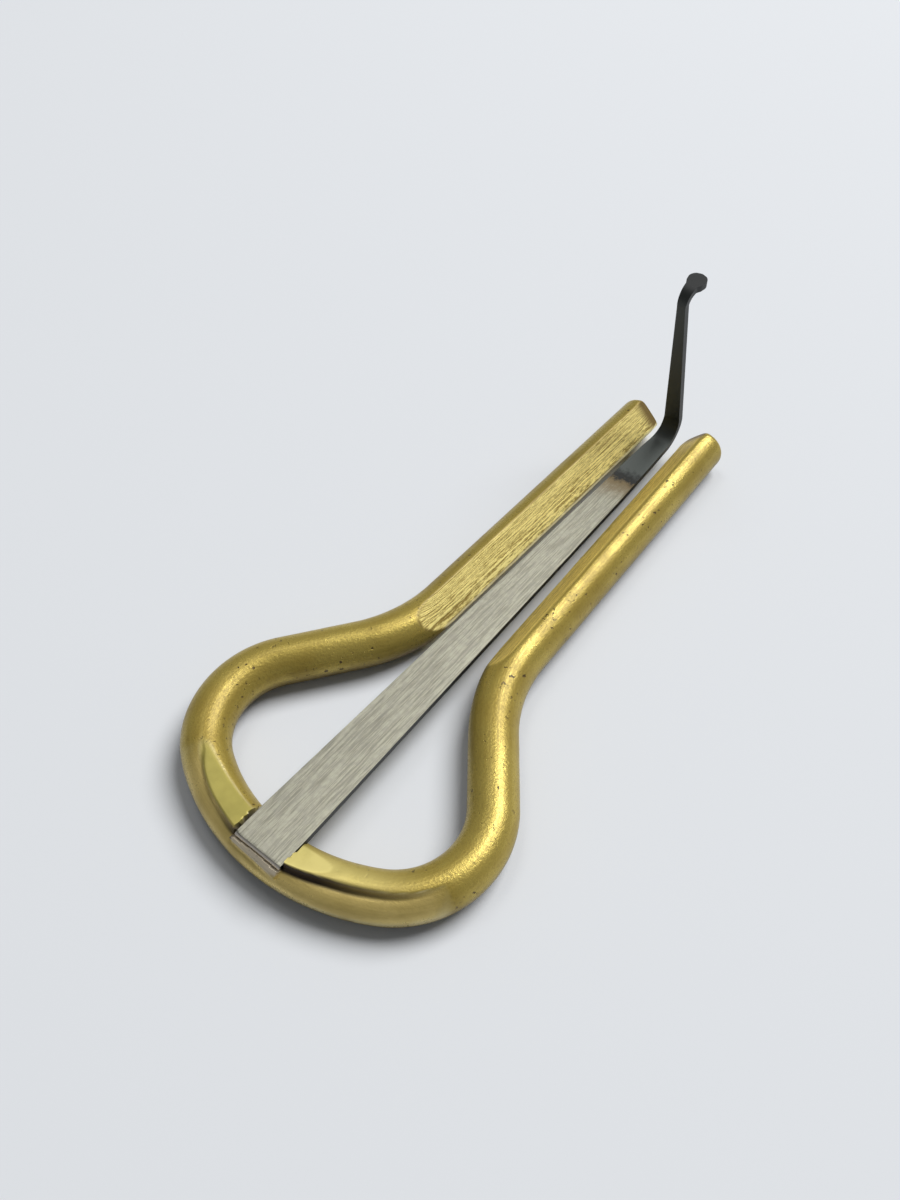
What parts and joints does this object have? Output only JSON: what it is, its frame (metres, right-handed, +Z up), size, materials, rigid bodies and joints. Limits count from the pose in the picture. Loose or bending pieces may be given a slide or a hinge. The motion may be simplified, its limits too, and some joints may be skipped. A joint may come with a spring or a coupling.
{
  "type": "jaw harp",
  "caption": "Mouth instrument: a round brass rod bent to a pear-shaped bow with bevelled arms, and a tapered spring steel reed with an upturned trigger to pluck.",
  "frame": {"origin": "middle of the bounding box, at the plane that the rod lies on", "axes": "+X from the back of the bow to the ends of the arms, +Y to the left arm, +Z up along the trigger"},
  "size_m": [0.0725, 0.0354, 0.0255],
  "materials": {
    "brass": "worn satin, filed bare on the arms",
    "reed_steel": "ground lengthwise, heat-blued at the trigger"
  },
  "bodies": {
    "frame": {"frame": "brass", "reed_root": "reed_steel"},
    "reed": {"reed_tongue": "reed_steel"}
  },
  "joints": [
    {"name": "reed_flex", "type": "hinge", "parent": "frame", "child": "reed", "pos_m": [-0.02127, 0, 0.00382], "axis": [0, 1, 0], "range_deg": [-8, 8], "stiffness_Nm_per_rad": 1.24}
  ]
}
